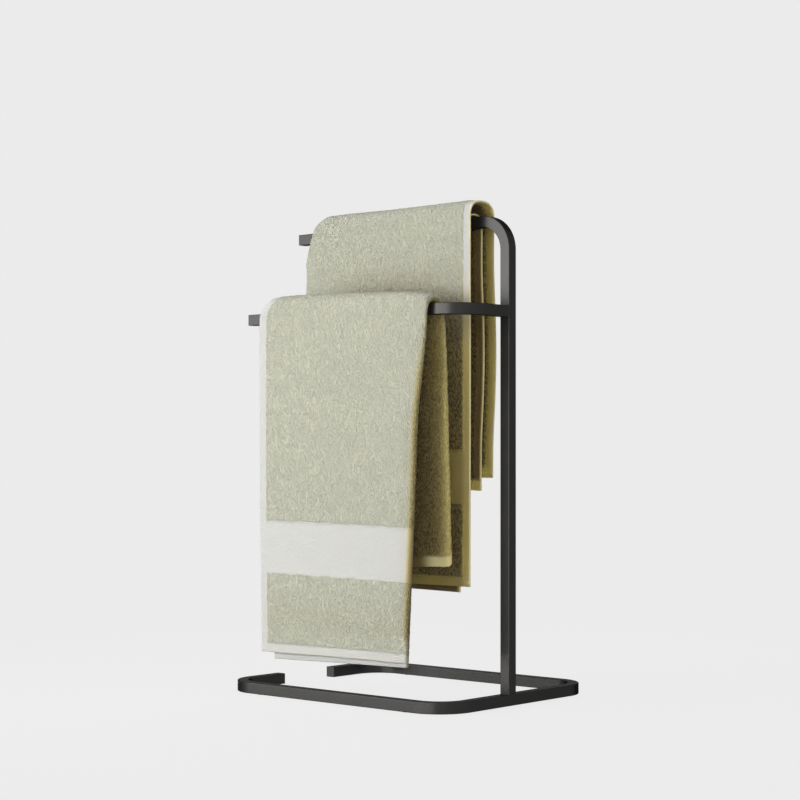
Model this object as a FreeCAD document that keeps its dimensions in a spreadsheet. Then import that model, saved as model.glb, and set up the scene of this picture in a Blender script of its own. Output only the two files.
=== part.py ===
import FreeCAD, Part
import os
import re
import Sketcher

# Countertop towel stand of bent square bar, with a folded hand towel over each of its two arms.
# Frame: origin on the counter under the middle of the base, +X towards the post, -Y towards the
# user, +Z up. Millimetres.

SIZES = {
    # Bar stock
    "bar_side": 10,
    "bar_edge_radius": 0.6,
    "cut_edge_radius": 0.35,
    "bend_radius": 35,
    "crook_radius": 31,
    # Base
    "base_length": 270,
    "base_depth": 215,
    "mouth_width": 68,
    # Post and arms, heights from the counter to the top of the bar
    "stand_height": 431,
    "post_forward": 14.5,
    "arm_length": 256,
    "lower_arm_height": 350.5,
    "arm_spacing": 67.5,
    # Screw and pin between base and post
    "screw_diameter": 4,
    "screw_head_diameter": 7.5,
    "screw_length": 20,
    "screw_head_recess": 0.2,
    "screw_tap_spare": 2,
    "socket_width": 2.5,
    "socket_depth": 1.4,
    "screw_forward": 1.9,
    "pin_diameter": 2.5,
    "pin_length": 10,
    "pin_end_chamfer": 0.3,
    "pin_back": 2.6,
    "pin_end_spare": 0.5,
    "shank_clearance": 0.25,
    "fit_clearance": 0.03,
    # Anti-slip pads
    "foot_clear": 0.5,
    "pad_diameter": 6.4,
    "pad_thickness": 1.4,
    "pad_edge_chamfer": 0.3,
    "pad_clearance": 0.15,
    "pad_from_bend": 12,
    # Towels: front hems by their rise above the base, back hems by their drop from the arm's top
    "towel_width": 400,
    "towel_layer": 4.6,
    "towel_clearance": 0.4,
    "front_hem_lag": 5.5,
    "back_hem_lag": 11,
    "front_towel_crown": 4.4,
    "front_towel_hem_rise": 27.7,
    "front_towel_back_drop": 228,
    "front_towel_past_bend": 8,
    "front_towel_taper": 18,
    "front_towel_swing": 5,
    "front_towel_back_swing": 8,
    "rear_towel_crown": 5.6,
    "rear_towel_hem_rise": 93.2,
    "rear_towel_back_drop": 232,
    "rear_towel_before_bend": 6,
    # How far a cut runs past the solid
    "overrun": 5,
}

doc = FreeCAD.newDocument("TowelStand")
sheet = doc.addObject("Spreadsheet::Sheet", "Sizes")
for row, (alias, value) in enumerate(SIZES.items(), start=1):
    sheet.set(f"A{row}", alias)
    sheet.set(f"B{row}", str(value))
    sheet.setAlias(f"B{row}", alias)
doc.recompute()


def tied(text):
    """The expression with each named size read from the sheet."""
    return re.sub(r"[a-z_]+", lambda word: ("Sizes." if word[0] in SIZES else "") + word[0], text)


def number(text):
    return float(sheet.evalExpression(tied(text)))


# Places that several pieces share
BASE_TOP = "(foot_clear + bar_side)"
POST_X = "(base_length / 2 - bar_side / 2)"
POST_Y = "(-post_forward)"
ARM_TIP_X = "(base_length / 2 - arm_length)"
UPPER_ARM_Z = "(stand_height - bar_side / 2)"
LOWER_ARM_Z = "(lower_arm_height - bar_side / 2)"
LOWER_ARM_Y = "(-post_forward - arm_spacing)"
SCREW_Y = "(-post_forward - screw_forward)"
PIN_Y = "(-post_forward + pin_back)"
PIN_LOW = f"({BASE_TOP} - pin_length / 2)"
PIN_HIGH = f"({BASE_TOP} + pin_length / 2)"


# Sketches and features

def new_body(label):
    body = doc.addObject("PartDesign::Body", label)
    body.Label = label
    return body


def sketch_on(body, name, role, shift):
    """A sketch on one of the body's origin planes, shifted along its own axes and its normal."""
    sketch = body.newObject("Sketcher::SketchObject", name)
    plane = next(f for f in body.Origin.OriginFeatures if f.Role == role)
    sketch.AttachmentSupport = [(plane, "")]
    sketch.MapMode = "FlatFace"
    for axis, text in zip("xyz", shift):
        sketch.setExpression(f"AttachmentOffset.Base.{axis}", tied(text))
    return sketch


def dimension(sketch, kind, where, text):
    index = sketch.addConstraint(Sketcher.Constraint(kind, *where, number(text)))
    sketch.setExpression(f"Constraints[{index}]", tied(text))


def place_point(sketch, geometry, end, x_text, y_text):
    dimension(sketch, "DistanceX", (-1, 1, geometry, end), x_text)
    dimension(sketch, "DistanceY", (-1, 1, geometry, end), y_text)


def bent_run(sketch, corners, radius, closed=False):
    """Straight legs along the sketch's two axes in turn, with a tangent bend at each corner."""
    points = [FreeCAD.Vector(number(x), number(y), 0) for x, y in corners]
    turn = number(radius)
    count = len(corners) if closed else len(corners) - 1
    legs, runs = [], []
    for i in range(count):
        first, last = points[i], points[(i + 1) % len(points)]
        run = (last - first).normalize()
        start = first + run * turn if closed or i > 0 else first
        end = last - run * turn if closed or i < count - 1 else last
        leg = sketch.addGeometry(Part.LineSegment(start, end))
        level = abs(run.x) > abs(run.y)
        sketch.addConstraint(Sketcher.Constraint("Horizontal" if level else "Vertical", leg))
        x_text, y_text = corners[i]
        if level:
            dimension(sketch, "DistanceY", (-1, 1, leg, 1), y_text)
        else:
            dimension(sketch, "DistanceX", (-1, 1, leg, 1), x_text)
        if not closed and i in (0, count - 1):
            free_end = 1 if i == 0 else 2
            free_corner = corners[0] if i == 0 else corners[-1]
            kind = "DistanceX" if level else "DistanceY"
            dimension(sketch, kind, (-1, 1, leg, free_end), free_corner[0 if level else 1])
        legs.append(leg)
        runs.append(run)
    for i in range(count if closed else count - 1):
        following = (i + 1) % count
        corner = points[(i + 1) % len(points)]
        centre = corner - runs[i] * turn + runs[following] * turn
        middle = centre + (corner - centre).normalize() * turn
        arc_start, arc_end = corner - runs[i] * turn, corner + runs[following] * turn
        bend = sketch.addGeometry(Part.Arc(arc_start, middle, arc_end))
        left_turn = runs[i].cross(runs[following]).z > 0
        entry, leaving = (1, 2) if left_turn else (2, 1)
        sketch.addConstraint(Sketcher.Constraint("Tangent", legs[i], 2, bend, entry))
        sketch.addConstraint(Sketcher.Constraint("Tangent", bend, leaving, legs[following], 1))
        dimension(sketch, "Radius", (bend,), radius)


def closed_outline(sketch, corners, crowns=None):
    """A closed outline through the corners. crowns gives an arched side's rise, by its number."""
    crowns = crowns or {}
    points = [FreeCAD.Vector(number(x), number(y), 0) for x, y in corners]
    count = len(points)
    ends = []
    for i in range(count):
        first, last = points[i], points[(i + 1) % count]
        if i not in crowns:
            sketch.addGeometry(Part.LineSegment(first, last))
            ends.append((1, 2))
            continue
        top = (first + last) / 2 + FreeCAD.Vector(0, number(crowns[i]), 0)
        sketch.addGeometry(Part.Arc(first, top, last))
        ends.append((2, 1) if first.x < last.x else (1, 2))
    for i in range(count):
        following = (i + 1) % count
        joint = (i, ends[i][1], following, ends[following][0])
        sketch.addConstraint(Sketcher.Constraint("Coincident", *joint))
        place_point(sketch, i, ends[i][0], *corners[i])
    for i, rise in crowns.items():
        half = f"(({corners[(i + 1) % count][0]}) - ({corners[i][0]})) / 2"
        dimension(sketch, "Radius", (i,), f"(({half})^2 + ({rise})^2) / (2 * ({rise}))")


def circles(sketch, centres, diameter):
    for x_text, y_text in centres:
        middle = FreeCAD.Vector(number(x_text), number(y_text), 0)
        up = FreeCAD.Vector(0, 0, 1)
        ring = sketch.addGeometry(Part.Circle(middle, up, number(diameter) / 2))
        place_point(sketch, ring, 3, x_text, y_text)
        dimension(sketch, "Diameter", (ring,), diameter)


def bar_along(body, path, section):
    """The square bar with rounded edges, swept along its bent path."""
    low, high = "-bar_side / 2", "bar_side / 2"
    square = [(low, low), (high, low), (high, high), (low, high)]
    bent_run(section, square, "bar_edge_radius", closed=True)
    bar = body.newObject("PartDesign::AdditivePipe", f"{body.Label}_bar")
    bar.Profile = section
    bar.Spine = (path, [])
    doc.recompute()
    return bar


def ease_cut_end(body, axis, place):
    """Rounds the edges of a sawn end that lies square to an axis."""
    base = body.Tip
    near = number("cut_edge_radius") / 2
    target = number(place)
    edges = []
    for i, edge in enumerate(base.Shape.Edges, start=1):
        box = edge.BoundBox
        low, high = getattr(box, f"{axis}Min"), getattr(box, f"{axis}Max")
        if abs(low - target) < near and abs(high - target) < near:
            edges.append(f"Edge{i}")
    ease = body.newObject("PartDesign::Fillet", f"{body.Label}_cut_end")
    ease.Base = (base, edges)
    ease.setExpression("Radius", tied("cut_edge_radius"))
    doc.recompute()


def drill(body, sketch, depth):
    """A pocket that runs upwards from its sketch."""
    before = body.Tip.Shape.Volume
    hole = body.newObject("PartDesign::Pocket", f"{sketch.Name}_cut")
    hole.Profile = sketch
    hole.Reversed = True
    hole.setExpression("Length", tied(depth))
    doc.recompute()
    if hole.Shape.Volume >= before:
        raise RuntimeError(f"{hole.Name} cuts nothing")


def extrude(body, sketch, length):
    pad = body.newObject("PartDesign::Pad", f"{sketch.Name}_pad")
    pad.Profile = sketch
    pad.setExpression("Length", tied(length))
    doc.recompute()
    return pad


def chamfer_rims(body, places, amount):
    """Bevels the circular rims that lie at the given heights."""
    base = body.Tip
    heights = [number(place) for place in places]
    near = number(amount) / 2
    rims = [
        f"Edge{i}"
        for i, edge in enumerate(base.Shape.Edges, start=1)
        if any(max(abs(edge.BoundBox.ZMin - z), abs(edge.BoundBox.ZMax - z)) < near for z in heights)
    ]
    bevel = body.newObject("PartDesign::Chamfer", f"{body.Label}_bevel")
    bevel.Base = (base, rims)
    bevel.setExpression("Size", tied(amount))
    doc.recompute()


# Base frame: an open ring of bar, with pad pockets, a countersunk screw hole and a pin hole

LEFT_X = "(-base_length / 2 + bar_side / 2)"
FRONT_Y = "(-base_depth / 2 + bar_side / 2)"
REAR_Y = "(base_depth / 2 - bar_side / 2)"
BEND_CENTRE_RADIUS = "(bend_radius - bar_side / 2)"
PAD_X = "(base_length / 2 - bend_radius - pad_from_bend)"
PAD_PLACES = {
    "foot_pad_front_left": (f"-{PAD_X}", FRONT_Y),
    "foot_pad_front_right": (PAD_X, FRONT_Y),
    "foot_pad_rear_left": (f"-{PAD_X}", REAR_Y),
    "foot_pad_rear_right": (PAD_X, REAR_Y),
}


def countersunk_profile(shank, head, head_height, top):
    """Half the section of a countersunk screw or of its hole, from the underside upwards."""
    return [
        ("0", "0"),
        (f"{head} / 2", "0"),
        (f"{shank} / 2", head_height),
        (f"{shank} / 2", top),
        ("0", top),
    ]


def make_base_frame():
    body = new_body("base_frame")
    path = sketch_on(body, "base_path", "XY_Plane", ("0", "0", "foot_clear + bar_side / 2"))
    corners = [
        (LEFT_X, "-mouth_width / 2"),
        (LEFT_X, FRONT_Y),
        (POST_X, FRONT_Y),
        (POST_X, REAR_Y),
        (LEFT_X, REAR_Y),
        (LEFT_X, "mouth_width / 2"),
    ]
    bent_run(path, corners, BEND_CENTRE_RADIUS)
    at_mouth = (LEFT_X, "foot_clear + bar_side / 2", "mouth_width / 2")
    bar_along(body, path, sketch_on(body, "base_section", "XZ_Plane", at_mouth))
    ease_cut_end(body, "Y", "-mouth_width / 2")
    ease_cut_end(body, "Y", "mouth_width / 2")

    pockets = sketch_on(body, "pad_pockets", "XY_Plane", ("0", "0", "foot_clear"))
    circles(pockets, PAD_PLACES.values(), "pad_diameter + 2 * pad_clearance")
    drill(body, pockets, "pad_thickness - foot_clear")

    under_post = (POST_X, "foot_clear", f"-{SCREW_Y}")
    profile = sketch_on(body, "screw_hole", "XZ_Plane", under_post)
    shank = "(screw_diameter + 2 * shank_clearance)"
    head = "(screw_head_diameter + 2 * (screw_head_recess + fit_clearance))"
    cone = f"({head} - {shank}) / 2"
    closed_outline(profile, countersunk_profile(shank, head, cone, "bar_side + overrun"))
    before = body.Tip.Shape.Volume
    bore = body.newObject("PartDesign::Groove", "screw_hole_cut")
    bore.Profile = profile
    bore.ReferenceAxis = (profile, ["V_Axis"])
    bore.Angle = 360
    doc.recompute()
    if bore.Shape.Volume >= before:
        raise RuntimeError("the screw hole cuts nothing")

    pin_hole = sketch_on(body, "base_pin_hole", "XY_Plane", ("0", "0", f"{PIN_LOW} - pin_end_spare"))
    circles(pin_hole, [(POST_X, PIN_Y)], "pin_diameter + 2 * fit_clearance")
    drill(body, pin_hole, "pin_length / 2 + pin_end_spare + overrun")
    return body


# Post and upper arm, one bent bar

def make_upright_post():
    body = new_body("upright_post")
    path = sketch_on(body, "post_path", "XZ_Plane", ("0", "0", "post_forward"))
    corners = [(POST_X, BASE_TOP), (POST_X, UPPER_ARM_Z), (ARM_TIP_X, UPPER_ARM_Z)]
    bent_run(path, corners, "crook_radius - bar_side / 2")
    foot = (POST_X, POST_Y, BASE_TOP)
    bar_along(body, path, sketch_on(body, "post_section", "XY_Plane", foot))
    ease_cut_end(body, "X", ARM_TIP_X)

    tap = sketch_on(body, "screw_tap", "XY_Plane", ("0", "0", BASE_TOP))
    circles(tap, [(POST_X, SCREW_Y)], "screw_diameter + 2 * fit_clearance")
    drill(body, tap, "screw_length - bar_side + screw_head_recess + screw_tap_spare")
    pin_hole = sketch_on(body, "post_pin_hole", "XY_Plane", ("0", "0", BASE_TOP))
    circles(pin_hole, [(POST_X, PIN_Y)], "pin_diameter + 2 * fit_clearance")
    drill(body, pin_hole, "pin_length / 2 + pin_end_spare")
    return body


# Lower arm, welded to the post's front face and ground flush

def make_lower_arm():
    body = new_body("lower_arm")
    post_front = f"({POST_Y} - bar_side / 2)"
    path = sketch_on(body, "lower_arm_path", "XY_Plane", ("0", "0", LOWER_ARM_Z))
    corners = [(POST_X, post_front), (POST_X, LOWER_ARM_Y), (ARM_TIP_X, LOWER_ARM_Y)]
    bent_run(path, corners, BEND_CENTRE_RADIUS)
    root = (POST_X, LOWER_ARM_Z, f"-{post_front}")
    bar_along(body, path, sketch_on(body, "lower_arm_section", "XZ_Plane", root))
    ease_cut_end(body, "X", ARM_TIP_X)
    return body


# Screw, pin and pads

def make_base_screw():
    body = new_body("base_screw")
    head_face = "(foot_clear + screw_head_recess)"
    profile = sketch_on(body, "screw_profile", "XZ_Plane", (POST_X, head_face, f"-{SCREW_Y}"))
    cone = "(screw_head_diameter - screw_diameter) / 2"
    outline = countersunk_profile("screw_diameter", "screw_head_diameter", cone, "screw_length")
    closed_outline(profile, outline)
    turned = body.newObject("PartDesign::Revolution", "screw_turned")
    turned.Profile = profile
    turned.ReferenceAxis = (profile, ["V_Axis"])
    turned.Angle = 360
    doc.recompute()

    socket = sketch_on(body, "screw_socket", "XY_Plane", (POST_X, SCREW_Y, head_face))
    reach = "(socket_width / sqrt(3))"
    flat = "(socket_width / 2)"
    hexagon = [
        (reach, "0"),
        (f"{reach} / 2", flat),
        (f"-{reach} / 2", flat),
        (f"-{reach}", "0"),
        (f"-{reach} / 2", f"-{flat}"),
        (f"{reach} / 2", f"-{flat}"),
    ]
    closed_outline(socket, hexagon)
    drill(body, socket, "socket_depth")
    return body


def make_base_pin():
    body = new_body("base_pin")
    ring = sketch_on(body, "pin_circle", "XY_Plane", ("0", "0", PIN_LOW))
    circles(ring, [(POST_X, PIN_Y)], "pin_diameter")
    extrude(body, ring, "pin_length")
    chamfer_rims(body, [PIN_LOW, PIN_HIGH], "pin_end_chamfer")
    return body


def make_foot_pad(label, place):
    body = new_body(label)
    disc = sketch_on(body, f"{label}_disc", "XY_Plane", ("0", "0", "0"))
    circles(disc, [place], "pad_diameter")
    extrude(body, disc, "pad_thickness")
    chamfer_rims(body, ["0"], "pad_edge_chamfer")
    return body


# Towels, each folded in half lengthwise and hung over an arm in two layers

def towel_section(sketch, arm_y, arm_top, crown, hems, swings, bend_room):
    """The hung towel's section: two layers over the arm, the inner one longer on both sides."""
    front_hem, back_hem = hems
    front_swing, back_swing = swings
    inner = "(bar_side / 2 + towel_clearance)"
    outer = f"({inner} + 2 * towel_layer)"
    front_low, back_low = f"{front_hem} - front_hem_lag", f"{back_hem} - back_hem_lag"

    def front(reach, swing):
        return f"{arm_y} - ({reach}) - ({swing})"

    def back(reach, swing):
        return f"{arm_y} + {bend_room} + ({reach}) + ({swing})"

    between = f"{inner} + towel_layer"
    corners = [
        (front(outer, front_swing), front_hem),
        (front(outer, "0"), arm_top),
        (back(outer, "0"), arm_top),
        (back(outer, back_swing), back_hem),
        (back(between, back_swing), back_hem),
        (back(between, back_swing), back_low),
        (back(inner, back_swing), back_low),
        (back(inner, "0"), arm_top),
        (front(inner, "0"), arm_top),
        (front(inner, front_swing), front_low),
        (front(between, front_swing), front_low),
        (front(between, front_swing), front_hem),
    ]
    over_outer, over_inner = 1, 7
    crowns = {over_outer: f"{crown} + 2 * towel_layer", over_inner: crown}
    closed_outline(sketch, corners, crowns)


def make_towel(label, arm_y, arm_top, crown, hems, left_x, right_x, right_swings, bend_room):
    """A towel hung straight at its left end and swung out a little at its right end."""
    body = new_body(label)
    left = sketch_on(body, f"{label}_left", "YZ_Plane", ("0", "0", left_x))
    towel_section(left, arm_y, arm_top, crown, hems, ("0", "0"), "0")
    right = sketch_on(body, f"{label}_right", "YZ_Plane", ("0", "0", right_x))
    towel_section(right, arm_y, arm_top, crown, hems, right_swings, bend_room)
    cloth = body.newObject("PartDesign::AdditiveLoft", f"{label}_cloth")
    cloth.Profile = left
    cloth.Sections = [right]
    cloth.Ruled = True
    doc.recompute()
    return body


def make_front_towel():
    right_x = "(base_length / 2 - bend_radius + front_towel_past_bend)"
    left_x = f"({right_x} - towel_width / 2)"
    inner_bend = "(bend_radius - bar_side)"
    bend_room = f"({inner_bend} - sqrt({inner_bend}^2 - front_towel_past_bend^2))"
    front_hem = f"({BASE_TOP} + front_towel_hem_rise)"
    hems = (front_hem, "(lower_arm_height - front_towel_back_drop)")
    swings = ("front_towel_swing", "front_towel_back_swing")
    body = make_towel(
        "front_towel",
        LOWER_ARM_Y,
        "lower_arm_height",
        "front_towel_crown",
        hems,
        left_x,
        right_x,
        swings,
        bend_room,
    )
    # The front panel's fold slants inwards towards the hem.
    taper = sketch_on(body, "front_towel_slant", "XZ_Plane", ("0", "0", f"-{LOWER_ARM_Y}"))
    hem = f"({front_hem} - front_hem_lag)"
    wedge = [
        (right_x, "lower_arm_height - bar_side"),
        (f"{right_x} - front_towel_taper", hem),
        (f"{right_x} - front_towel_taper", f"{hem} - overrun"),
        (f"{right_x} + overrun", f"{hem} - overrun"),
        (f"{right_x} + overrun", "lower_arm_height - bar_side"),
    ]
    closed_outline(taper, wedge)
    before = body.Tip.Shape.Volume
    slant = body.newObject("PartDesign::Pocket", "front_towel_slant_cut")
    slant.Profile = taper
    slant.Reversed = True
    slant.Type = "ThroughAll"
    doc.recompute()
    if slant.Shape.Volume >= before:
        raise RuntimeError("the front towel's slant cuts nothing")
    return body


def make_rear_towel():
    right_x = "(base_length / 2 - crook_radius - rear_towel_before_bend)"
    left_x = f"({right_x} - towel_width / 2)"
    hems = (f"({BASE_TOP} + rear_towel_hem_rise)", "(stand_height - rear_towel_back_drop)")
    return make_towel(
        "rear_towel",
        POST_Y,
        "stand_height",
        "rear_towel_crown",
        hems,
        left_x,
        right_x,
        ("0", "0"),
        "0",
    )


bodies = [
    make_base_frame(),
    make_upright_post(),
    make_lower_arm(),
    make_base_screw(),
    make_base_pin(),
    *(make_foot_pad(label, place) for label, place in PAD_PLACES.items()),
    make_front_towel(),
    make_rear_towel(),
]
doc.recompute()

for item in doc.Objects:
    if {"Invalid", "Error"} & set(item.State):
        raise RuntimeError(f"{item.Label} failed: {item.State}")
for body in bodies:
    if body.Shape.isNull() or not body.Shape.isValid() or len(body.Shape.Solids) != 1:
        raise RuntimeError(f"{body.Label} has no valid solid")

os.makedirs("parts", exist_ok=True)
for body in bodies:
    body.Shape.exportStep(f"parts/{body.Label}.step")
    print(body.Label, round(body.Shape.Volume), "mm3")
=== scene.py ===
import math
from dataclasses import dataclass

import bpy
import numpy as np
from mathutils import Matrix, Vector


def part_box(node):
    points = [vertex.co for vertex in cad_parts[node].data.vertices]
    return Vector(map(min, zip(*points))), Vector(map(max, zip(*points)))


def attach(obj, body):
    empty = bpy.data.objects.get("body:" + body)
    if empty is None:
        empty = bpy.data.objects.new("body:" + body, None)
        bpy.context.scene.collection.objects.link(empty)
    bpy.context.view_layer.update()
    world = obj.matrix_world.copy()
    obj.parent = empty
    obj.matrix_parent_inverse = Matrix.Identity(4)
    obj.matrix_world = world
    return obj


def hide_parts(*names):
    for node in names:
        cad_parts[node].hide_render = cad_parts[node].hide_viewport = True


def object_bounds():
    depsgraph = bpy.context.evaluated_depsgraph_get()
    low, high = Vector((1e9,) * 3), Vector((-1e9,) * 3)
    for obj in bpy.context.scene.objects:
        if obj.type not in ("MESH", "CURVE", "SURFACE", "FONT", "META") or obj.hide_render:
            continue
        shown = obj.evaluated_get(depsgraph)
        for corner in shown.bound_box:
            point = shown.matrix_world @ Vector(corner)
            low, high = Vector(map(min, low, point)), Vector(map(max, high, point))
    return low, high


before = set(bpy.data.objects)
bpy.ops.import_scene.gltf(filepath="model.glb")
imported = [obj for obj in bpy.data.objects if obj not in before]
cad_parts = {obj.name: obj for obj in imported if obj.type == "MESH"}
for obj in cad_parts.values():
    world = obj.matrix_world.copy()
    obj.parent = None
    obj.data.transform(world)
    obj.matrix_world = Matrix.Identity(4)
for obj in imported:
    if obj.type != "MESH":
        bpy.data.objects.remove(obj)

# Countertop towel stand of bent square bar with two folded terry towels. Metres, in the frame of
# the solids: +X towards the post, -Y towards the user, +Z up from the counter.

cad_low, cad_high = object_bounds()
MM = 0.001

# Where the two arms run, read from the solids
post_low, post_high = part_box("upright_post")
lower_low, lower_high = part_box("lower_arm")
BAR_SIDE = lower_high.z - lower_low.z
UPPER_ARM_Y = (post_low.y + post_high.y) / 2
UPPER_ARM_TOP = post_high.z
LOWER_ARM_Y = lower_low.y + BAR_SIDE / 2
LOWER_ARM_TOP = lower_high.z

# Towel cloth: each half is from the middle of the cloth to its surface
LAYER = 3.6 * MM
PILE_HALF = 1.65 * MM
WOVEN_HALF = 0.95 * MM
HEM_HALF = 1.05 * MM
HEM_WIDTH = 8.3 * MM
HEM_STEP = 1 * MM
BAND_FROM_HEM = 73 * MM
BAND_WIDTH = 47.5 * MM
BAND_END = BAND_FROM_HEM + BAND_WIDTH
RIM_WIDTH = 0.9 * MM
RIM_ROUNDING = 0.65
PILE_STEP_WIDTH = 1.1 * MM
PILE_RAGGEDNESS = 0.05 * MM
LOOP_PITCH = 1.82 * MM
LOOP_RELIEF = 0.48 * MM
INNER_RELIEF_SHARE = 0.45
WOVEN_PITCH = 2 * MM
BAND_PITCH = 4 * MM

# The fold: the cloth runs round it, and is pressed flat near it
FOLD_RADIUS = LAYER / 2
FOLD_LENGTH = FOLD_RADIUS * math.pi
HALF_FOLD = FOLD_LENGTH / 2
PRESSED_WIDTH = 14 * MM
PRESSED_LAYER = 2.1 * MM
PRESSED_PILE = 0.62
FOLD_MARGIN = 1 * MM
FOLD_ROOM = PRESSED_LAYER / 2 - 0.3 * MM
INSIDE_SHARE = 0.95

# The arch over an arm, of the inner and the outer layer
INNER_REACH = 10.6 * MM
INNER_CREST = 2.7 * MM
INNER_SPRING = 12 * MM
OUTER_SPRING = 2 * MM
ARCH_POWER = 2 / 2.6
ARCH_POINTS = 241
ARCH_HEIGHT = 14 * MM
OVER_ARM = 44 * MM

# How the cloth falls from the arch
STRAIGHT = ((0, 0), (0.3, 0))
EDGE_CORNER_START = 0.55
HEM_RISE_HEIGHT = 55 * MM
INNER_RISE_SHARE = 0.5
WAVE_DEPTH = 0.2


# Materials

class Nodes:
    """Adds and links the nodes of one material or world."""

    # Sockets of a Mix node: its share and the two sides that it mixes, and its colour output
    VALUE_SOCKETS = (0, 2, 3)
    COLOUR_SOCKETS = (0, 6, 7)
    COLOUR_RESULT = 2

    def __init__(self, tree):
        self.tree = tree

    def add(self, kind, **settings):
        """A new node, with its inputs and settings given by name."""
        node = self.tree.nodes.new(kind)
        for key, value in settings.items():
            if key in node.inputs:
                node.inputs[key].default_value = value
            else:
                setattr(node, key, value)
        return node

    def link(self, source, socket):
        self.tree.links.new(source, socket)

    def put(self, value, socket):
        """Gives a socket a constant, or links it to another node's output."""
        if isinstance(value, bpy.types.NodeSocket):
            self.link(value, socket)
        else:
            socket.default_value = value

    def place(self):
        return self.add("ShaderNodeTexCoord").outputs["Object"]

    def painted(self, name):
        """A value that is painted on the mesh."""
        return self.add("ShaderNodeAttribute", attribute_name=name).outputs["Fac"]

    def stretched(self, place, scale):
        node = self.add("ShaderNodeMapping", Scale=scale)
        self.link(place, node.inputs["Vector"])
        return node.outputs["Vector"]

    def noise(self, place, **settings):
        node = self.add("ShaderNodeTexNoise", **settings)
        self.link(place, node.inputs["Vector"])
        return node.outputs["Fac"]

    def toned(self, value, dark, light, ends=(0.0, 1.0)):
        """A colour between dark and light, as the value runs between the two ends."""
        node = self.add("ShaderNodeValToRGB")
        for element, position, colour in zip(node.color_ramp.elements, ends, (dark, light)):
            element.position = position
            element.color = (*colour, 1)
        self.link(value, node.inputs["Fac"])
        return node.outputs["Color"]

    def mapped(self, value, from_range=(0.0, 1.0), to_range=(0.0, 1.0), **settings):
        """The value carried from one range to another."""
        node = self.add("ShaderNodeMapRange", **settings)
        limits = zip(("From Min", "From Max", "To Min", "To Max"), (*from_range, *to_range))
        for name, limit in limits:
            node.inputs[name].default_value = limit
        self.link(value, node.inputs["Value"])
        return node.outputs["Result"]

    def computed(self, operation, first, second, **settings):
        node = self.add("ShaderNodeMath", operation=operation, **settings)
        self.link(first, node.inputs[0])
        self.link(second, node.inputs[1])
        return node.outputs[0]

    def mixed_value(self, share, first, second):
        node = self.add("ShaderNodeMix", data_type="FLOAT")
        for socket, value in zip(self.VALUE_SOCKETS, (share, first, second)):
            self.put(value, node.inputs[socket])
        return node.outputs[0]

    def mixed_colour(self, share, first, second, blend="MIX"):
        node = self.add("ShaderNodeMix", data_type="RGBA", blend_type=blend)
        for socket, value in zip(self.COLOUR_SOCKETS, (share, first, second)):
            self.put(value, node.inputs[socket])
        return node.outputs[self.COLOUR_RESULT]

    def embossed(self, height, strength, distance):
        """A normal with a fine relief."""
        node = self.add("ShaderNodeBump", Strength=strength, Distance=distance)
        self.link(height, node.inputs["Height"])
        return node.outputs["Normal"]


def new_material(name):
    """A material, its Principled node and its nodes."""
    material = bpy.data.materials.new(name)
    material.use_nodes = True
    tree = material.node_tree
    return material, tree.nodes["Principled BSDF"], Nodes(tree)


def powder_coat():
    """Charcoal powder coat: satin, with the fine pebbled skin that such coats have."""
    material, shader, nodes = new_material("powder_coat")
    place = nodes.place()
    pebbles = nodes.noise(place, Scale=1400.0, Detail=2.0, Roughness=0.55)
    clouds = nodes.noise(place, Scale=35.0, Detail=4.0, Roughness=0.6)
    tone = nodes.toned(clouds, dark=(0.035, 0.0343, 0.0333), light=(0.041, 0.0402, 0.039))
    nodes.link(tone, shader.inputs["Base Color"])
    nodes.link(nodes.mapped(clouds, to_range=(0.27, 0.31)), shader.inputs["Roughness"])
    skin = nodes.embossed(pebbles, strength=0.25, distance=0.15 * MM)
    nodes.link(skin, shader.inputs["Normal"])
    shader.inputs["Metallic"].default_value = 0.6
    shader.inputs["Specular IOR Level"].default_value = 0.0
    shader.inputs["Specular Tint"].default_value = (0.185, 0.185, 0.185, 1)
    return material


def steel(name, dark, light, grain_scale):
    """Bare or blackened steel with a fine machined grain."""
    material, shader, nodes = new_material(name)
    grain = nodes.noise(nodes.place(), Scale=grain_scale, Detail=3.0)
    nodes.link(nodes.toned(grain, dark, light), shader.inputs["Base Color"])
    nodes.link(nodes.mapped(grain, to_range=(0.25, 0.42)), shader.inputs["Roughness"])
    shader.inputs["Metallic"].default_value = 1.0
    return material


def pad_rubber():
    """Matt black rubber with a fine moulded grain."""
    material, shader, nodes = new_material("pad_rubber")
    grain = nodes.noise(nodes.place(), Scale=2600.0, Detail=2.0)
    tone = nodes.toned(grain, dark=(0.018, 0.018, 0.018), light=(0.035, 0.035, 0.034))
    nodes.link(tone, shader.inputs["Base Color"])
    skin = nodes.embossed(grain, strength=0.3, distance=0.1 * MM)
    nodes.link(skin, shader.inputs["Normal"])
    shader.inputs["Roughness"].default_value = 0.75
    return material


# Heights in the pile's pattern between which its tone goes from dark to light: painted shade in
# the hollows between the loops, and uneven at random along the streaks
PILE_HEIGHTS = (0.2, 0.72)
# Painted shade: colours multiplied into the cloth in its own shade, where light still gets in and
# deep in; and the painted glow colour of its lit rims
WOVEN_SHADE_TINTS = ((1.18, 0.95, 0.27, 1), (0.262, 0.17, 0.062, 1))
PILE_SHADE_TINTS = ((1.22, 1.0, 0.38, 1), (0.222, 0.143, 0.057, 1))
PAINTED_RIM_GLOW = (1.0, 0.88, 0.46, 1)


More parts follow.
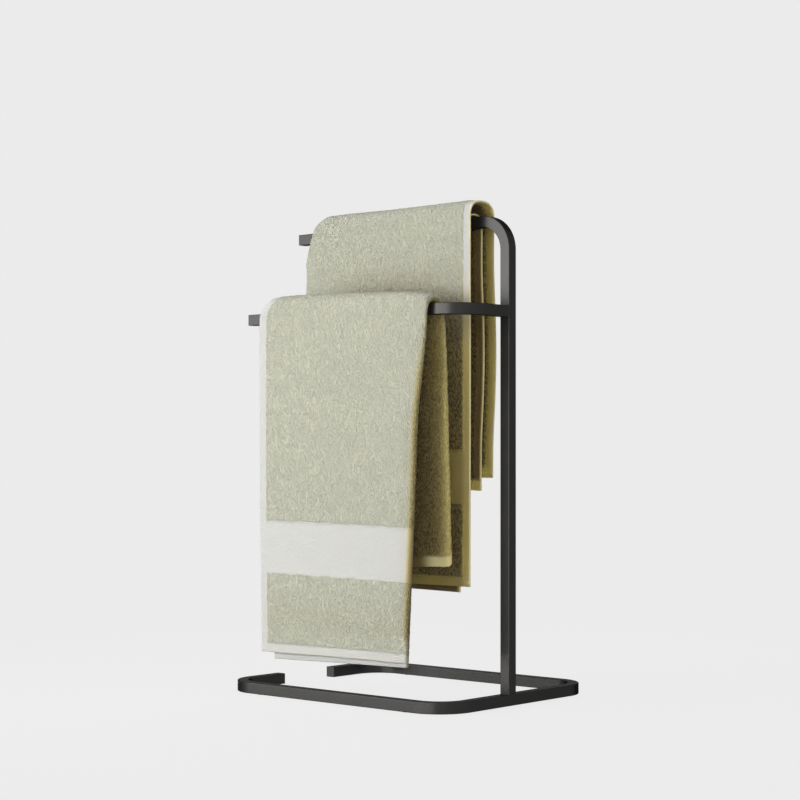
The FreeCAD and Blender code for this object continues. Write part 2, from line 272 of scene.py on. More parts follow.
def terry_loops(nodes, flat):
    """The crowns of single loops, and how high the pile is with its streaks and uneven loops."""
    upright = nodes.stretched(flat, (1.7, 0.6, 1.0))
    loops = nodes.add("ShaderNodeTexVoronoi", Scale=640.0)
    nodes.link(upright, loops.inputs["Vector"])
    crown = nodes.mapped(loops.outputs["Distance"], from_range=(0.7, 0.1))
    streaked = nodes.stretched(flat, (1.5, 0.35, 1.0))
    streaks = nodes.noise(streaked, Scale=420.0, Detail=2.0, Roughness=0.5)
    loop_share, crown_share = 0.4, 0.6
    uneven = nodes.mixed_value(loop_share, streaks, nodes.painted("loop"))
    return crown, nodes.mixed_value(crown_share, uneven, crown)


def terry_painted_shade(nodes, pile, pile_height):
    """How far the cloth takes painted shade, and the golden colour of that painted shade, darker deep
    in.
    """
    # Painted shade where ambient occlusion finds the cloth covered, or where the masks paint it
    open_to_light = nodes.add("ShaderNodeAmbientOcclusion", samples=8, Distance=0.2)
    lie = nodes.add("ShaderNodeAttribute", attribute_name="lie")
    nodes.link(lie.outputs["Vector"], open_to_light.inputs["Normal"])
    covered = nodes.mapped(
        open_to_light.outputs["AO"], from_range=(0.63, 0.44), interpolation_type="SMOOTHSTEP"
    )
    shaded = nodes.computed("MAXIMUM", covered, nodes.painted("inside"))
    amount = nodes.computed("SUBTRACT", shaded, nodes.painted("plain"), use_clamp=True)

    deep = nodes.painted("deep")
    woven_shade_tint = nodes.mixed_colour(deep, *WOVEN_SHADE_TINTS)
    hollow = nodes.mapped(pile_height, PILE_HEIGHTS, to_range=(0.18, -0.18), clamp=False)
    speckled = nodes.computed("ADD", deep, hollow, use_clamp=True)
    pile_shade_tint = nodes.mixed_colour(speckled, *PILE_SHADE_TINTS)
    return amount, nodes.mixed_colour(pile, woven_shade_tint, pile_shade_tint)


def terry():
    """Sage terry loops and the paler woven selvedges, hems and band, told apart by the pile mask."""
    material, shader, nodes = new_material("terry")
    flat = nodes.add("ShaderNodeUVMap", uv_map="cloth").outputs["UV"]
    pile = nodes.painted("pile")
    crown, pile_height = terry_loops(nodes, flat)
    weave = nodes.noise(flat, Scale=900.0, Detail=2.0)
    # The pile's tone follows its height: painted shade in the hollows, light on the crowns
    looped = nodes.toned(pile_height, (0.468, 0.468, 0.366), (0.562, 0.564, 0.462), PILE_HEIGHTS)
    woven = nodes.toned(weave, dark=(0.533, 0.53, 0.5), light=(0.595, 0.592, 0.566))
    colour = nodes.mixed_colour(pile, woven, looped)
    painted_shade, shade_tint = terry_painted_shade(nodes, pile, pile_height)
    # The painted shade is multiplied into the cloth's colour
    colour = nodes.mixed_colour(painted_shade, colour, shade_tint, blend="MULTIPLY")
    # Painted glow: a pale golden colour mixed in on the rims and hems
    colour = nodes.mixed_colour(nodes.painted("rim"), colour, PAINTED_RIM_GLOW)
    nodes.link(colour, shader.inputs["Base Color"])

    relief = nodes.mixed_value(pile, weave, crown)
    surface = nodes.embossed(relief, strength=1.0, distance=1.15 * MM)
    nodes.link(surface, shader.inputs["Normal"])
    shader.inputs["Roughness"].default_value = 0.9
    shader.inputs["Specular IOR Level"].default_value = 0.15
    shader.inputs["Sheen Weight"].default_value = 0.15
    return material


# Towels

@dataclass(kw_only=True)
class Hang:
    """How one towel hangs over its arm, its fold at one end of the arm, its open edges at the other.

    Depth is measured down from the arm's top, and a place across runs from 0 at the fold to 1 at the
    open edges. Stops pair a place with a value there.
    """

    seed: int
    arm_y: float
    arm_top: float
    fold_x: float
    edge_x: float
    front_hem: float
    back_hem: float
    selvedge: float

    # The inner layer: how far its open edges lie back, how much lower its hems hang at the fold and
    # at the open edges, and how far its front edge slants back
    inner_setback: float
    front_lag: tuple
    back_lag: tuple
    inner_slant: float = 0.0

    # The outer layer's top over the arm, in stops across, and its reach from the middle of the arm
    # at the fold and at the open edges
    crest: tuple
    reach: tuple

    # Sideways shifts in stops down the depth, how fast the fold's shift fades across, how much the
    # front hem rises in stops across, and for each top corner the depth and inset of its rounding
    fold_path: tuple = STRAIGHT
    back_fold_path: tuple = STRAIGHT
    edge_path: tuple = STRAIGHT
    back_edge_path: tuple = STRAIGHT
    fold_ease: float = 1.0
    hem_rise: tuple = ((0, 0), (1, 0))
    fold_corner: tuple = (10 * MM, 0.0)
    edge_corner: tuple = (10 * MM, 0.0)

    # How far the fold swings out at the front hem and at the back, and the cloth's wave across: its
    # height, its turns in radians and its phase
    swing: tuple = (0.0, 0.0)
    wave: tuple

    # Painted shade and glow: how many fold lengths the painted shade comes round the fold, how dark
    # it is there and on the inner layer, over what run it darkens behind the fold, and how far the
    # hems and edges stay out of the painted shade or take a painted glow
    fold_shade: float
    fold_darkness: float = 0.0
    inner_darkness: float = 0.0
    darkening_run: float = 0.0
    lit_hem: float = 0.0
    edge_glow: float = 0.0
    hem_glow: float = 0.0

    @property
    def inward(self):
        return math.copysign(1, self.edge_x - self.fold_x)

    @property
    def width(self):
        return abs(self.edge_x - self.fold_x)

    @property
    def front_drop(self):
        return self.arm_top - self.front_hem

    @property
    def back_drop(self):
        return self.arm_top - self.back_hem


def spaced(start, end, step):
    """Lines from start up to end, without end, with an even count of equal gaps."""
    gaps = max(2, 2 * round((end - start) / step / 2))
    return list(np.linspace(start, end, gaps, endpoint=False))


def ruled(stops):
    """The cloth's lines through (position, gap after it) stops."""
    lines = []
    for (start, step), (end, _) in zip(stops, stops[1:]):
        lines += spaced(start, end, step)
    return np.array(lines + [stops[-1][0]])


def between(pair, share):
    return pair[0] + (pair[1] - pair[0]) * share


def fade(value, start, width):
    """A share that is 0 up to start and eases to 1 over the width after it."""
    share = np.clip((value - start) / width, 0, 1)
    return share * share * (3 - 2 * share)


def curve(stops, position):
    """A smooth line through (position, value) stops, level beyond its ends."""
    at, value = np.array(stops, float).T
    slope = np.gradient(value, at)
    position = np.clip(position, at[0], at[-1])
    k = np.clip(np.searchsorted(at, position, side="right") - 1, 0, len(at) - 2)
    gap = at[k + 1] - at[k]
    t = (position - at[k]) / gap
    start = (1 + 2 * t) * (1 - t) ** 2 * value[k] + t * (1 - t) ** 2 * gap * slope[k]
    return start + t * t * (3 - 2 * t) * value[k + 1] + t * t * (t - 1) * gap * slope[k + 1]


def arched(hang, along_share, from_fold, outer):
    """Where lines of cloth lie over the arm: y from its middle, z, and the side from -1 to 1."""
    across = from_fold / hang.width
    crest = between((INNER_CREST, curve(hang.crest, across) - PILE_HALF), outer)
    pressed = fade(from_fold, start=0, width=PRESSED_WIDTH)
    outer_reach = between((INNER_REACH + PRESSED_LAYER, between(hang.reach, across)), pressed)
    reach = between((INNER_REACH, outer_reach), outer)
    spring = between((INNER_SPRING, OUTER_SPRING), outer)
    front_hem = hang.front_hem - between(hang.front_lag, across) * (1 - outer)
    back_hem = hang.back_hem - between(hang.back_lag, across) * (1 - outer)

    sweep = np.linspace(0, math.pi, ARCH_POINTS)
    y = np.empty((len(from_fold), len(along_share)))
    z = np.empty_like(y)
    for i in range(len(from_fold)):
        arch_y = -reach[i] * np.sign(np.cos(sweep)) * np.abs(np.cos(sweep)) ** ARCH_POWER
        arch_z = (crest[i] + spring[i]) * np.sin(sweep) ** ARCH_POWER - spring[i]
        run = np.concatenate([[0], np.cumsum(np.hypot(np.diff(arch_y), np.diff(arch_z)))])
        front = hang.arm_top - spring[i] - front_hem[i]
        back = hang.arm_top - spring[i] - back_hem[i]
        along = along_share * (front + run[-1] + back) - front
        y[i] = np.interp(along, run, arch_y)
        z[i] = hang.arm_top + np.interp(along, run, arch_z)
        z[i] -= np.maximum(-along, 0) + np.maximum(along - run[-1], 0)

    rise = curve(hang.hem_rise, across) * between((INNER_RISE_SHARE, 1), outer)
    above_hem = z - front_hem[:, None]
    z += rise[:, None] * (1 - fade(above_hem, start=0, width=HEM_RISE_HEIGHT))
    return y, z, y / reach[:, None]


def drawn_in(hang, corner, z):
    """How far a top corner is drawn in at height z, by the depth and inset of its rounding."""
    depth, inset = corner
    return inset * fade(z - hang.arm_top, start=-depth, width=depth + ARCH_HEIGHT)


def hung(hang, a, b, length):
    """The cloth's middle surface, for lines a round the fold and b from front hem to back hem."""
    turn = np.clip(a / FOLD_RADIUS, -math.pi / 2, math.pi / 2)
    from_fold = FOLD_RADIUS * (1 - np.cos(turn)) + np.maximum(np.abs(a) - HALF_FOLD, 0)
    outer = (1 + np.sin(turn)) / 2
    y, z, side = arched(hang, b / length, from_fold, outer)

    across, outer = (from_fold / hang.width)[:, None], outer[:, None]
    to_back = fade(side, start=-1, width=2)
    depth = np.maximum(hang.arm_top - z, 0)
    drop = depth / hang.front_drop
    fold_paths = (curve(hang.fold_path, depth), curve(hang.back_fold_path, depth))
    fold_shift = between(fold_paths, to_back) + hang.inward * drawn_in(hang, hang.fold_corner, z)
    edge_paths = (curve(hang.edge_path, depth), curve(hang.back_edge_path, depth))
    near_edge = fade(across, start=EDGE_CORNER_START, width=1 - EDGE_CORNER_START)
    corner = near_edge * drawn_in(hang, hang.edge_corner, z)
    slant = hang.inner_slant * (1 - outer) * (1 - to_back) * fade(drop, start=0, width=1) * across
    edge_shift = between(edge_paths, to_back) - hang.inward * (corner + slant)
    dx = fold_shift * (1 - across) ** hang.fold_ease + edge_shift * across

    front_swing, back_swing = hang.swing
    dy = (1 - across) * between((-front_swing * drop, back_swing * drop), to_back)
    height, turns, phase = hang.wave
    dy = dy + height * np.sin(across * turns + phase) * fade(depth, start=0, width=WAVE_DEPTH)
    x = hang.fold_x + hang.inward * from_fold[:, None] + dx
    return np.stack([x, hang.arm_y + y + dy, z], axis=-1)


def band_ripple(a, b):
    """The woven band pulls the cloth a little up and down along its length."""
    height, short_share = 0.3 * MM, 0.6
    long_wave, short_wave = 5.3 * MM, 2.9 * MM
    ripple = np.sin(a / long_wave + 0.6) + short_share * np.sin(a / short_wave + 2)
    from_middle = np.abs(b - (BAND_FROM_HEM + BAND_WIDTH / 2))
    return height * ripple * (1 - fade(from_middle, start=BAND_WIDTH / 2, width=25 * MM))


def surface_normals(points):
    """Normals of the cloth, turned so that the outer layer's front half looks to the front."""
    normals = np.cross(np.gradient(points, axis=0), np.gradient(points, axis=1))
    normals /= np.linalg.norm(normals, axis=-1, keepdims=True)
    columns, rows = points.shape[:2]
    front_middle = normals[-columns // 4, rows // 8]
    return normals * -math.copysign(1, front_middle[1])


def loop_heights(shape, seed):
    """Seeded loop heights, a little alike along the length, which gives the pile its streaks."""
    own, shared = 0.75, 0.25
    noise = np.random.default_rng(seed).uniform(-1, 1, shape)
    return own * noise + shared * np.roll(noise, 1, axis=1)


class Sheet:
    """A towel's cloth on a grid: a runs round the fold from the inner to the outer open edge, and b
    from the front hem over the arm to the back hem. Its looped face looks outwards on the outer
    layer and towards the arm on the inner one, and its other face lies inside the fold.
    """

    def __init__(self, hang):
        self.hang = hang
        self.inner_end = -(HALF_FOLD + hang.width - hang.inner_setback - FOLD_RADIUS)
        self.outer_end = HALF_FOLD + hang.width - FOLD_RADIUS
        self.length = hang.front_drop + hang.back_drop + OVER_ARM
        a, b = self.lines_round_fold(), self.lines_over_arm()
        self.points = hung(hang, a, b, self.length)
        self.points[..., 2] += band_ripple(a[:, None], b[None, :])
        self.normals = surface_normals(self.points)
        self.a, self.b = np.meshgrid(a, b, indexing="ij")
        self.to_edge = np.minimum(self.a - self.inner_end, self.outer_end - self.a)
        self.to_hem = np.minimum(self.b, self.length - self.b)
        self.pile = self.pile_mask()
        self.loops = loop_heights(self.a.shape, hang.seed) * self.pile
        self.mark_places()

    def lines_round_fold(self):
        inner_pile = self.inner_end + self.hang.selvedge
        outer_pile = self.outer_end - self.hang.selvedge
        return ruled([
            (self.inner_end, RIM_WIDTH / 2),
            (self.inner_end + RIM_WIDTH, WOVEN_PITCH),
            (inner_pile, PILE_STEP_WIDTH / 4),
            (inner_pile + PILE_STEP_WIDTH, LOOP_PITCH),
            (outer_pile - PILE_STEP_WIDTH, PILE_STEP_WIDTH / 4),
            (outer_pile, WOVEN_PITCH),
            (self.outer_end - RIM_WIDTH, RIM_WIDTH / 2),
            (self.outer_end, 0),
        ])

    def lines_over_arm(self):
        back_pile = self.length - HEM_WIDTH
        return ruled([
            (0, RIM_WIDTH / 2),
            (RIM_WIDTH, WOVEN_PITCH),
            (HEM_WIDTH, PILE_STEP_WIDTH / 4),
            (HEM_WIDTH + PILE_STEP_WIDTH, LOOP_PITCH),
            (BAND_FROM_HEM - PILE_STEP_WIDTH, PILE_STEP_WIDTH / 4),
            (BAND_FROM_HEM, BAND_PITCH),
            (BAND_END, PILE_STEP_WIDTH / 4),
            (BAND_END + PILE_STEP_WIDTH, LOOP_PITCH),
            (back_pile - PILE_STEP_WIDTH, PILE_STEP_WIDTH / 4),
            (back_pile, WOVEN_PITCH),
            (self.length - RIM_WIDTH, RIM_WIDTH / 2),
            (self.length, 0),
        ])

    def pile_mask(self):
        """How far the pile stands up: 0 on the woven parts, 1 a step's width inside their borders."""
        to_woven = np.minimum(self.to_edge - self.hang.selvedge, self.to_hem - HEM_WIDTH)
        to_band = np.maximum(BAND_FROM_HEM - self.b, self.b - BAND_END)
        inside = np.minimum(to_woven, to_band)
        ragged = np.random.default_rng(self.hang.seed + 1).normal(0, PILE_RAGGEDNESS, inside.shape)
        share = np.clip((inside + ragged) / PILE_STEP_WIDTH, 0, 1)
        return np.sqrt(1 - (1 - share) ** 2)

    def mark_places(self):
        """Where each point of the cloth is, in shares from 0 to 1."""
        hang = self.hang
        below_top = hang.arm_top - self.points[..., 2]
        self.inner = self.a < 0
        self.at_fold = 1 - fade(np.abs(self.a), start=0, width=9 * MM)
        self.off_arch = fade(below_top, start=0, width=75 * MM)
        self.dropped = np.clip(below_top / hang.front_drop, 0, 1)
        self.off_edge = fade(self.to_edge, start=0, width=2 * RIM_WIDTH)
        self.off_back_hem = fade(self.length - self.b, start=HEM_WIDTH, width=2 * MM)
        self.off_rim = self.off_edge * self.off_back_hem
        self.on_back = fade(self.b, start=hang.front_drop + OVER_ARM, width=30 * MM)
        # The painted shade lies on the side away from the key light, which comes from the left
        self.away_from_key = fade(self.points[..., 0], start=-30 * MM, width=70 * MM)

    def surfaces(self):
        """The looped face, and every second line of the face inside the fold."""
        in_hem = 1 - fade(self.to_hem, start=HEM_WIDTH - HEM_STEP, width=HEM_STEP)
        to_rim = np.clip(np.minimum(self.to_edge, self.to_hem) / RIM_WIDTH, 0, 1)
        woven = between((WOVEN_HALF, HEM_HALF), in_hem)
        woven = woven * np.sqrt(1 - RIM_ROUNDING * (1 - to_rim) ** 2)
        from_middle = np.abs(self.a)
        pressed = between((PRESSED_PILE, 1), fade(from_middle, HALF_FOLD, PRESSED_WIDTH))
        half = between((woven, PILE_HALF * pressed), self.pile)
        in_fold = from_middle < HALF_FOLD + FOLD_MARGIN
        half_inside = np.where(in_fold, np.minimum(half, FOLD_ROOM), INSIDE_SHARE * half)
        relief = LOOP_RELIEF * np.where(self.inner, INNER_RELIEF_SHARE, 1)
        face = self.points + self.normals * (half + relief * self.loops)[..., None]
        inside_face = self.points - self.normals * half_inside[..., None]
        return face, inside_face[::2, ::2]


# Painted shade and painted glow on the cloth, on the looped face and on the face inside the fold.
# Pairs of darkness are for woven cloth and pile, or for the top and the hem of the fold

EDGE_SHADE = 0.5
BACK_HEM_SHADE = 0.95
FOLD_SHADE_WIDENING = 0.4
FOLD_SHADE_LOSS = 0.12
FOLD_SHADE_TINT = 0.2
BEHIND_FOLD_DARKNESS = 0.9
OUTER_DARKNESS = (0.5, 0.8)
FOLD_DARKENING = (0.55, 1.3)
UNCOVERED_DARKNESS = 0.7
FOLD_HEM_SHADE = 0.85
FRONT_HEM_GLOW = 0.05
COVERED_HEM_GLOW = 0.4


def shade_paint(sheet):
    """How far the cloth takes painted shade, in the towel's own shade."""
    hang = sheet.hang
    off_front_hem = fade(sheet.b, start=6 * MM, width=16 * MM)
    sheltered = np.maximum(off_front_hem, hang.fold_darkness * sheet.at_fold)
    off_rims = between((EDGE_SHADE, 1), sheet.off_edge)
    off_rims = off_rims * between((BACK_HEM_SHADE, 1), sheet.off_back_hem)
    inside = off_rims * sheltered * sheet.away_from_key

    widening = FOLD_SHADE_WIDENING * hang.fold_darkness * sheet.dropped
    shade_start = (hang.fold_shade + widening - 1) * FOLD_LENGTH
    turned_in = 1 - fade(sheet.a, start=shade_start, width=FOLD_LENGTH)
    turned_in = turned_in * np.where(sheet.inner, 1, sheet.off_arch)
    turned_in = turned_in * (1 - FOLD_SHADE_LOSS * hang.fold_darkness * sheet.at_fold)
    # A light painted shade beside the fold, growing towards the hem
    shade_tint = FOLD_SHADE_TINT * hang.fold_darkness * (1 - fade(sheet.a, start=0, width=20 * MM))
    shade_tint = shade_tint * fade(sheet.dropped, start=0, width=0.5)
    return np.maximum(turned_in, shade_tint) * inside, inside


def depth_paint(sheet):
    """How dark the painted shade is where the cloth takes it."""
    hang = sheet.hang
    inner = hang.inner_darkness * sheet.off_rim
    if hang.darkening_run:
        behind_fold = 1 - np.exp(-np.maximum(-sheet.a, 0) / hang.darkening_run)
        inner = np.maximum(inner, BEHIND_FOLD_DARKNESS * behind_fold)
    outer = between(OUTER_DARKNESS, sheet.pile) * fade(sheet.a, start=0, width=12 * MM)
    outer = outer * fade(sheet.to_edge, start=hang.selvedge / 2, width=hang.selvedge)
    fold = hang.fold_darkness * between(FOLD_DARKENING, sheet.dropped)
    fold = fold * sheet.at_fold * (1 - sheet.on_back)
    face = np.maximum(np.where(sheet.inner, inner, outer), fold)

    to_outer_edge = sheet.outer_end - sheet.a
    past_inner = fade(to_outer_edge, start=hang.inner_setback, width=2 * MM)
    uncovered = UNCOVERED_DARKNESS * fade(to_outer_edge, start=1 * MM, width=hang.inner_setback)
    return face, sheet.off_rim * between((uncovered, 1), past_inner)


def plain_paint(sheet):
    """What keeps out of the painted shade: faces that look backwards or to the key light, and a lit
    hem.
    """
    hang = sheet.hang
    below_arch = 1 - fade(sheet.b, start=hang.front_drop - 30 * MM, width=30 * MM)
    to_key = 1 - sheet.away_from_key
    face = sheet.off_rim * np.where(sheet.inner, below_arch, sheet.on_back)
    if hang.fold_darkness:
        face = face * fade(np.abs(sheet.a), start=8 * MM, width=12 * MM)
    face = np.where(sheet.inner, np.maximum(face, to_key), face)
    inside = sheet.off_edge * np.where(sheet.inner, sheet.on_back, below_arch)
    inside = np.maximum(inside, to_key)
    lit_hem = hang.lit_hem * (1 - fade(sheet.b, start=15 * MM, width=15 * MM))
    face_hem = lit_hem * (1 - FOLD_HEM_SHADE * sheet.at_fold)
    return np.maximum(face_hem, face), np.maximum(lit_hem, inside)


def glow_paint(sheet):
    """Painted glow: pale golden rims painted on the open edges and the hems, standing in for light
    through them.
    """
    hang = sheet.hang
    edge = hang.edge_glow * (1 - fade(sheet.to_edge, start=0, width=1.3 * RIM_WIDTH))
    past_front = fade(sheet.a, start=-34 * MM, width=18 * MM)
    past_front = past_front * between((COVERED_HEM_GLOW, 1), fade(-sheet.a, 0, 16 * MM))
    back_hem = (1 - sheet.off_back_hem) * past_front * (1 - fade(sheet.a, 5 * MM, 5 * MM))
    in_front_hem = 1 - fade(sheet.b, start=HEM_WIDTH - HEM_STEP, width=HEM_STEP)
    front_hem = FRONT_HEM_GLOW * in_front_hem * fade(sheet.a, start=0, width=5 * MM)
    hem = hang.hem_glow * np.maximum(back_hem, front_hem)
    return np.maximum(edge, hem), edge


def closed_faces(columns, rows):
    """Faces of a closed sheet: a fine grid, a grid of every second line, and rims between the two."""
    coarse_columns, coarse_rows = (columns + 1) // 2, (rows + 1) // 2

    def fine(i, j):
        return i * rows + j

    def coarse(i, j):
        return columns * rows + i * coarse_rows + j

    faces = []
    for i in range(columns - 1):
        for j in range(rows - 1):
            faces.append((fine(i, j), fine(i + 1, j), fine(i + 1, j + 1), fine(i, j + 1)))
    for i in range(coarse_columns - 1):
        for j in range(coarse_rows - 1):
            faces.append((coarse(i, j), coarse(i, j + 1), coarse(i + 1, j + 1), coarse(i + 1, j)))
    end, far = columns - 1, coarse_columns - 1
    for j in range(coarse_rows - 1):
        first, middle, last = range(2 * j, 2 * j + 3)
        inner_rim = (fine(0, first), fine(0, middle), fine(0, last))
        outer_rim = (fine(end, last), fine(end, middle), fine(end, first))
        faces.append((*inner_rim, coarse(0, j + 1), coarse(0, j)))
        faces.append((*outer_rim, coarse(far, j), coarse(far, j + 1)))
    end, far = rows - 1, coarse_rows - 1
    for i in range(coarse_columns - 1):
        first, middle, last = range(2 * i, 2 * i + 3)
        front_rim = (fine(last, 0), fine(middle, 0), fine(first, 0))
        back_rim = (fine(first, end), fine(middle, end), fine(last, end))
        faces.append((*front_rim, coarse(i, 0), coarse(i + 1, 0)))
        faces.append((*back_rim, coarse(i + 1, far), coarse(i, far)))
    return faces


def on_mesh(on_face, on_inside):
    """Values of the two faces in the order of the mesh's vertices."""
    return np.concatenate([on_face.ravel(), on_inside[::2, ::2].ravel()]).astype(np.float32)


def make_towel(name, hang):
    """A towel folded in half lengthwise and hung over an arm, as one closed sheet of terry."""
    sheet = Sheet(hang)
    vertices = np.concatenate([surface.reshape(-1, 3) for surface in sheet.surfaces()])
    mesh = bpy.data.meshes.new(name)
    mesh.from_pydata(vertices.tolist(), [], closed_faces(*sheet.a.shape))
    mesh.update()
    towel = bpy.data.objects.new(name, mesh)
    bpy.context.scene.collection.objects.link(towel)

    loop_share = (1 + sheet.loops) / 2
    # Masks for the terry: pile, loops, painted shade and its darkness, what stays out of it, painted
    # glow
    paints = {
        "pile": (sheet.pile, sheet.pile),
        "loop": (loop_share, loop_share),
        "inside": shade_paint(sheet),
        "deep": depth_paint(sheet),
        "plain": plain_paint(sheet),
        "rim": glow_paint(sheet),
    }
    for label, faces in paints.items():
        attribute = mesh.attributes.new(label, "FLOAT", "POINT")
        attribute.data.foreach_set("value", on_mesh(*faces))
    lies = [sheet.normals.reshape(-1, 3), -sheet.normals[::2, ::2].reshape(-1, 3)]
    lie = mesh.attributes.new("lie", "FLOAT_VECTOR", "POINT")
    lie.data.foreach_set("vector", np.concatenate(lies).ravel())

    flat = np.stack([on_mesh(sheet.a, sheet.a), on_mesh(sheet.b, sheet.b)], axis=-1)
    corners = np.zeros(len(mesh.loops), np.int32)
    mesh.loops.foreach_get("vertex_index", corners)
    uv = mesh.uv_layers.new(name="cloth")
    uv.data.foreach_set("uv", flat[corners].ravel())
    mesh.polygons.foreach_set("use_smooth", np.ones(len(mesh.polygons), bool))
    return towel


# Stage

BACKDROP = (0.831, 0.831, 0.831, 1)
AMBIENT = (0.10, 0.10, 0.10, 1)


def softbox(name, side, rise, distance, size, radiance, lights=True, mirrored=True):
    """A studio light that faces the object from side degrees right of the front, rise degrees up."""
    side, rise = math.radians(side), math.radians(rise)
    level = math.cos(rise)
    away = Vector((math.sin(side) * level, -math.cos(side) * level, math.sin(rise)))
    light = bpy.data.lights.new(name, "AREA")
    light.shape = "RECTANGLE"
    light.size, light.size_y = size
    light.energy = radiance * math.pi * light.size * light.size_y
    box = bpy.data.objects.new(name, light)
    box.location = (cad_low + cad_high) / 2 + distance * away
    box.rotation_euler = away.to_track_quat("Z", "Y").to_euler()
    box.visible_camera = False
    box.visible_diffuse = lights
    box.visible_glossy = mirrored
    bpy.context.scene.collection.objects.link(box)


def seen_directly(nodes):
    """1 for camera, glossy and transmission rays, which see the pale background."""
    rays = nodes.add("ShaderNodeLightPath").outputs
    shiny = nodes.computed("MAXIMUM", rays["Is Camera Ray"], rays["Is Glossy Ray"])
    return nodes.computed("MAXIMUM", shiny, rays["Is Transmission Ray"])


def make_world():
    """A pale backdrop for what is seen directly, and a dim fill for everything else."""
    world = bpy.data.worlds.new("studio")
    world.use_nodes = True
    world.node_tree.nodes.clear()
    nodes = Nodes(world.node_tree)
    fill = nodes.add("ShaderNodeBackground", Color=AMBIENT)
    shown = nodes.add("ShaderNodeBackground", Color=BACKDROP)
    mix = nodes.add("ShaderNodeMixShader")
    for socket, source in enumerate((seen_directly(nodes), fill.outputs[0], shown.outputs[0])):
        nodes.link(source, mix.inputs[socket])
    out = nodes.add("ShaderNodeOutputWorld")
    nodes.link(mix.outputs[0], out.inputs["Surface"])
    bpy.context.scene.world = world


def pale_floor():
    """A floor that glows like the backdrop, and near the object also takes its shadow."""
    near_to_far = (0.15, 0.75)
    material, shader, nodes = new_material("pale_floor")
    shader.inputs["Base Color"].default_value = (0.5, 0.5, 0.5, 1)
    shader.inputs["Roughness"].default_value = 0.9
    shader.inputs["Specular IOR Level"].default_value = 0.0
    distance = nodes.add("ShaderNodeVectorMath", operation="LENGTH")
    nodes.link(nodes.place(), distance.inputs[0])
    glow_share = nodes.mapped(distance.outputs["Value"], near_to_far, to_range=(0.88, 1.0))
    glow_strength = nodes.mapped(distance.outputs["Value"], near_to_far, to_range=(1.08, 1.0))
    glow = nodes.add("ShaderNodeEmission", Color=BACKDROP)
    nodes.link(glow_strength, glow.inputs["Strength"])
    share = nodes.computed("MULTIPLY", glow_share, seen_directly(nodes))
    mix = nodes.add("ShaderNodeMixShader")
    for socket, source in enumerate((share, shader.outputs[0], glow.outputs[0])):
        nodes.link(source, mix.inputs[socket])
    nodes.link(mix.outputs[0], material.node_tree.nodes["Material Output"].inputs["Surface"])
    return material


def make_floor():
    bpy.ops.object.select_all(action="DESELECT")
    bpy.ops.mesh.primitive_circle_add(vertices=96, radius=4.0, fill_type="NGON", location=(0, 0, 0))
    floor = bpy.context.object
    floor.name = "floor"
    floor.data.materials.append(pale_floor())
    floor.visible_glossy = False


def make_camera():
    """The photograph's view: level, from the front right, the horizon a little below the middle."""
    image_side = 800
    focal = 1887.33
    horizon = 450.55
    turned_left = 41.21
    stands_at = (1.14837, -1.32121, 0.22375)
    lens = bpy.data.cameras.new("camera")
    lens.sensor_width = 36
    lens.lens = lens.sensor_width * focal / image_side
    lens.shift_y = (horizon - image_side / 2) / image_side
    lens.clip_end = 50
    camera = bpy.data.objects.new("camera", lens)
    camera.location = stands_at
    camera.rotation_euler = (math.radians(90), 0, math.radians(turned_left))
    bpy.context.scene.collection.objects.link(camera)
    bpy.context.scene.camera = camera


# The stand's own pieces

coat = powder_coat()
rubber = pad_rubber()
finishes = {
    "base_frame": coat,
    "upright_post": coat,
    "lower_arm": coat,
    "base_screw": steel(
        "black_oxide", dark=(0.05, 0.05, 0.052), light=(0.09, 0.09, 0.092), grain_scale=900.0
    ),
    "base_pin": steel(
        "ground_steel", dark=(0.5, 0.5, 0.51), light=(0.66, 0.66, 0.67), grain_scale=1500.0
    ),
}
# What is not listed is a rubber pad, or a towel solid that the cloth takes the place of
for node_name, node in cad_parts.items():
    node.data.materials.clear()
    node.data.materials.append(finishes.get(node_name, rubber))

# The towels

front_hang = Hang(
    seed=11,
    arm_y=LOWER_ARM_Y,
    arm_top=LOWER_ARM_TOP,
    fold_x=103.7 * MM,
    edge_x=-94.3 * MM,
    front_hem=38.6 * MM,
    back_hem=126 * MM,
    selvedge=9.4 * MM,
    inner_setback=13 * MM,
    front_lag=(2.8 * MM, 6.4 * MM),
    back_lag=(3 * MM, 9 * MM),
    crest=(
        (0, 8.2 * MM), (0.04, 9.8 * MM), (0.13, 11 * MM), (0.33, 13 * MM), (0.53, 14 * MM),
        (0.7, 15 * MM), (1, 15 * MM),
    ),
    reach=(14.2 * MM, 15.6 * MM),
    fold_path=(
        (0, 0), (0.027, -1.6 * MM), (0.072, -7.1 * MM), (0.1, -10.3 * MM), (0.152, -12.1 * MM),
        (0.23, -15.2 * MM), (0.312, -18.3 * MM),
    ),
    back_fold_path=(
        (0, -2.2 * MM), (0.03, -0.3 * MM), (0.07, 0.2 * MM), (0.125, 0.2 * MM), (0.23, 0.3 * MM),
    ),
    edge_path=(
        (0, -0.4 * MM), (0.1, -0.5 * MM), (0.173, -0.6 * MM), (0.255, 0.9 * MM), (0.312, 1.9 * MM),
    ),
    hem_rise=((0, 2.2 * MM), (0.2, 2.3 * MM), (0.5, 2.1 * MM), (0.8, 0.9 * MM), (1, 0.5 * MM)),
    edge_corner=(6 * MM, 10 * MM),
    swing=(5 * MM, 11 * MM),
    wave=(0.9 * MM, 7.5, 0.8),
    fold_shade=1.2,
    fold_darkness=0.75,
    darkening_run=10 * MM,
    lit_hem=1.0,
    hem_glow=0.92,
)
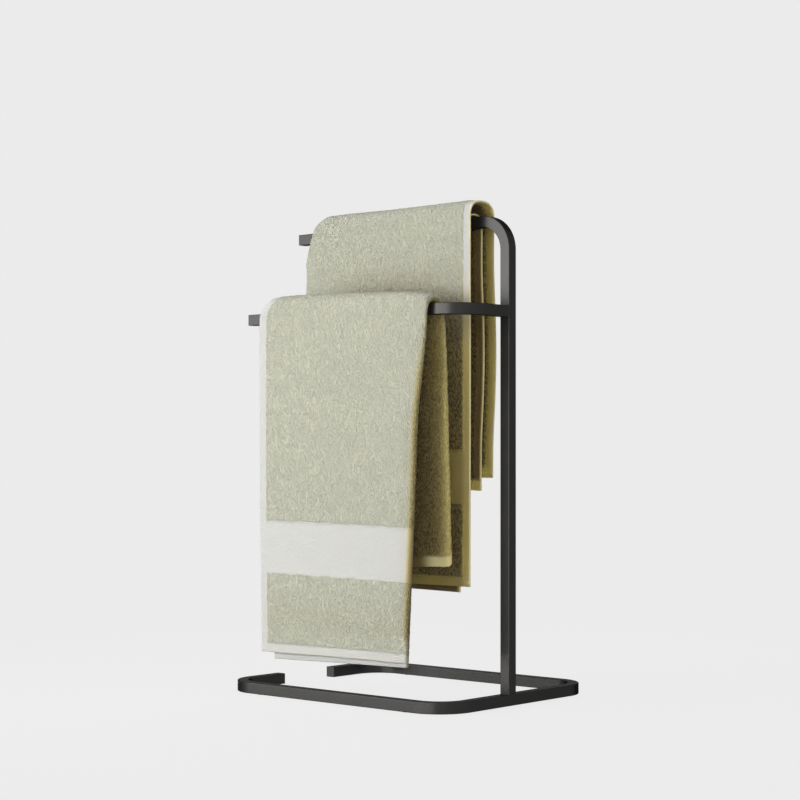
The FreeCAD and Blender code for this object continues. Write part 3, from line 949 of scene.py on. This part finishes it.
rear_hang = Hang(
    seed=23,
    arm_y=UPPER_ARM_Y,
    arm_top=UPPER_ARM_TOP,
    fold_x=-102.8 * MM,
    edge_x=100.8 * MM,
    front_hem=103.6 * MM,
    back_hem=199.3 * MM,
    selvedge=7.4 * MM,
    inner_setback=8.6 * MM,
    front_lag=(3 * MM, 6 * MM),
    back_lag=(4 * MM, 12 * MM),
    inner_slant=8 * MM,
    crest=(
        (0, 8.5 * MM), (0.03, 12 * MM), (0.07, 14.6 * MM), (0.12, 14.9 * MM), (0.5, 14.6 * MM),
        (1, 15.2 * MM),
    ),
    reach=(14.2 * MM, 16.3 * MM),
    edge_path=((0, 0), (0.15, -0.4 * MM), (0.3, -0.9 * MM)),
    back_edge_path=(
        (0, 0.8 * MM), (0.04, 0.2 * MM), (0.06, 0.7 * MM), (0.1, 2.3 * MM), (0.127, 2.4 * MM),
        (0.163, 1.1 * MM), (0.198, -0.9 * MM), (0.232, -1.4 * MM),
    ),
    fold_ease=3.0,
    fold_corner=(35 * MM, 11 * MM),
    wave=(0.8 * MM, 6.5, 2.1),
    fold_shade=0.0,
    inner_darkness=0.95,
    edge_glow=0.85,
)
cloth = terry()
towels = (
    ("front_towel", "lower_arm", front_hang),
    ("rear_towel", "upright_post", rear_hang),
)
for body, arm, hang in towels:
    towel = make_towel(f"{body}_cloth", hang)
    towel.data.materials.append(cloth)
    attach(towel, body)
    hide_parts(body)

# The studio: a light with mirrored=False stays out of the bars' gloss, and one with lights=False is
# seen only there

make_floor()
make_world()
softbox("key", side=-25, rise=7, distance=1.35, size=(1.2, 0.47), radiance=9.6, mirrored=False)
softbox("key_glow", side=-26, rise=3.5, distance=1.35, size=(1.32, 0.85), radiance=8.4, lights=False)
softbox("sweep", side=14, rise=3.1, distance=1.35, size=(0.6, 0.86), radiance=6.6, lights=False)
softbox("top", side=-30, rise=80, distance=1.4, size=(1.2, 1.2), radiance=1.9)
softbox("fill", side=54, rise=8, distance=1.5, size=(1.4, 1.0), radiance=2.1, mirrored=False)
softbox("edge", side=50, rise=-3, distance=1.4, size=(0.3, 0.2), radiance=4.0)
softbox("back", side=205, rise=20, distance=1.5, size=(1.4, 1.2), radiance=2.6, mirrored=False)
make_camera()
bpy.context.scene.view_settings.view_transform = "Standard"
